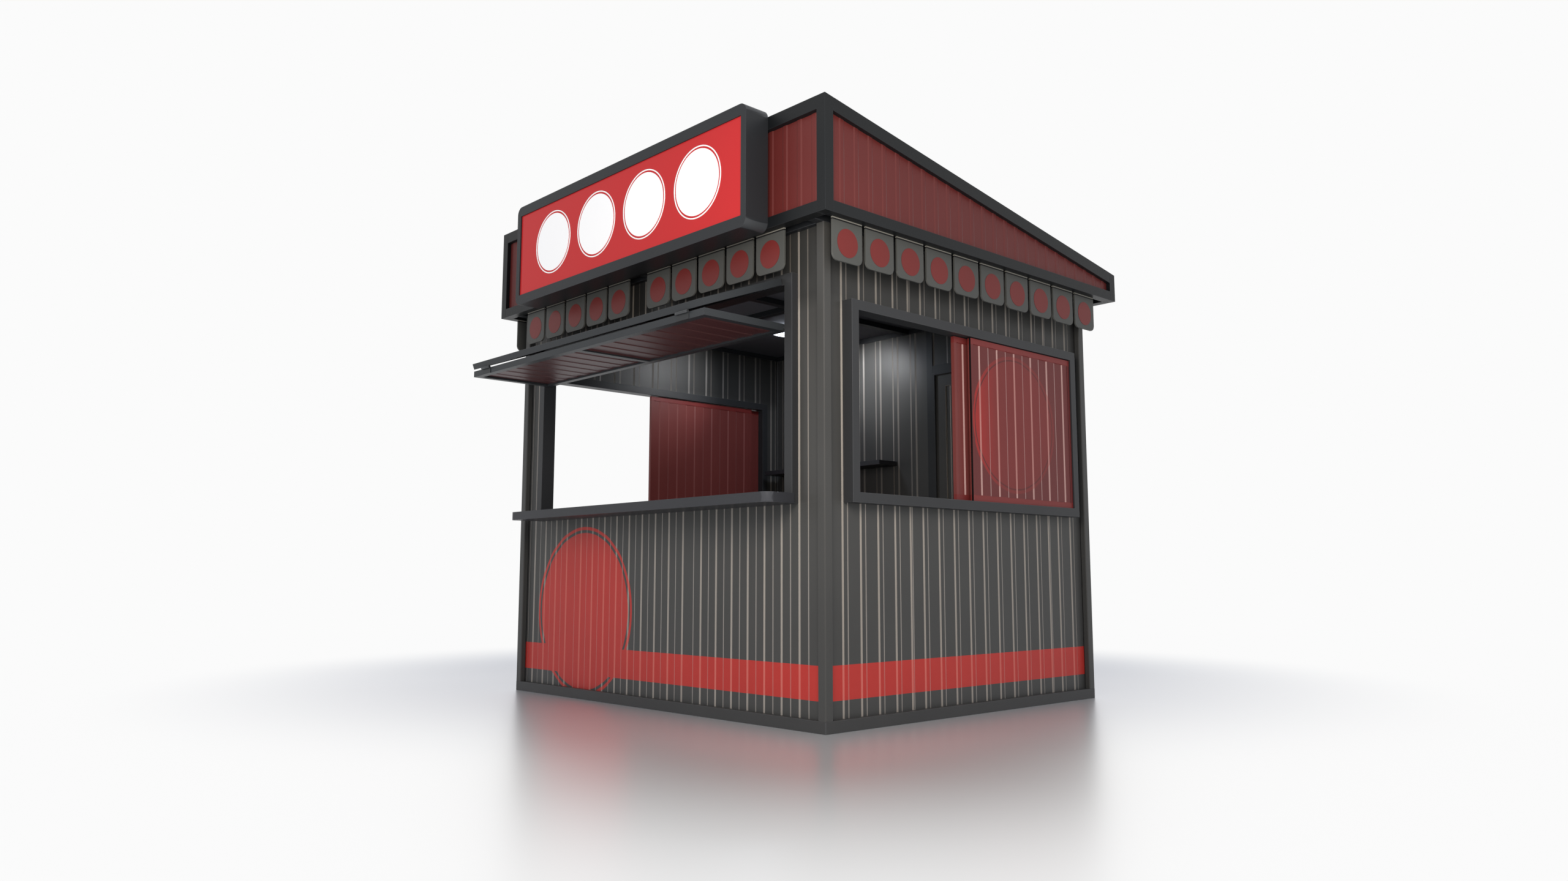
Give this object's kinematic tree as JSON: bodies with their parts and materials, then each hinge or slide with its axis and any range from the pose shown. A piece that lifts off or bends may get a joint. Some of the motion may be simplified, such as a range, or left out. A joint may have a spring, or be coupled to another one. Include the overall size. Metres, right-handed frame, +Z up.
{
  "type": "street kiosk",
  "caption": "Steel-framed street kiosk with ribbed cladding, serving hatch, counter, side windows, sign box and a hinged service door.",
  "frame": {"origin": "centre of the footprint at ground level, on the underside of the base", "axes": "+Z up, -Y out of the serving hatch, +X to the right for someone who faces the hatch"},
  "size_m": [2.948, 2.887, 2.945],
  "materials": {
    "frame_steel": "satin powder coat",
    "base_steel": "satin powder coat",
    "floor_deck": "dark phenolic film-faced board",
    "wall_cladding": "satin coil-coated ribbed sheet",
    "back_cladding": "satin coil-coated ribbed sheet",
    "fascia_red": "satin coil-coated ribbed sheet",
    "window_leaf_red": "satin coil-coated ribbed sheet",
    "shutter_red": "satin coil-coated ribbed sheet",
    "counter_top": "satin powder coat",
    "roof_sheet": "satin coil-coated ribbed sheet",
    "ceiling": "matt lining panel",
    "lamp": "opal diffuser",
    "sign_housing": "satin powder coat",
    "sign_panel": "acrylic",
    "valance": "satin powder coat",
    "hardware": "satin"
  },
  "bodies": {
    "kiosk": {"base_frame": "base_steel", "floor_panel": "floor_deck", "corner_posts": "frame_steel", "front_lower_wall": "wall_cladding", "front_left_pier": "wall_cladding", "front_right_pier": "wall_cladding", "front_upper_wall": "wall_cladding", "right_lower_wall": "wall_cladding", "right_wall_piers": "wall_cladding", "right_upper_wall": "wall_cladding", "left_lower_wall": "wall_cladding", "left_wall_piers": "wall_cladding", "left_upper_wall": "wall_cladding", "back_wall_hinge_side": "back_cladding", "back_wall_latch_side": "back_cladding", "back_wall_over_door": "back_cladding", "hatch_frame": "frame_steel", "counter_shelf": "counter_top", "hatch_upper_leaf": "shutter_red", "hatch_lower_leaf": "shutter_red", "hatch_hinges": "hardware", "right_window_frame": "frame_steel", "right_window_leaves": "window_leaf_red", "left_window_frame": "frame_steel", "left_window_leaves": "window_leaf_red", "door_jambs": "frame_steel", "door_lintel": "frame_steel", "door_hinge_pins": "hardware", "fascia_bottom_rails": "frame_steel", "fascia_top_rails": "frame_steel", "fascia_corner_posts": "frame_steel", "fascia_infills": "fascia_red", "ceiling_panel": "ceiling", "roof_beams": "frame_steel", "roof_sheet": "roof_sheet", "ceiling_lamp": "lamp", "inner_shelf": "counter_top", "sign_box": "sign_housing", "sign_face": "sign_panel", "valance_front": "valance", "valance_sides": "valance", "valance_back": "valance"},
    "door": {"door_leaf": "back_cladding", "door_hinge_sleeves": "hardware", "door_handles": "hardware"}
  },
  "joints": [
    {"name": "door_hinge", "type": "hinge", "parent": "kiosk", "child": "door", "pos_m": [1.0275, 1.114, 0], "axis": [0, 0, -1], "range_deg": [0, 95]}
  ]
}
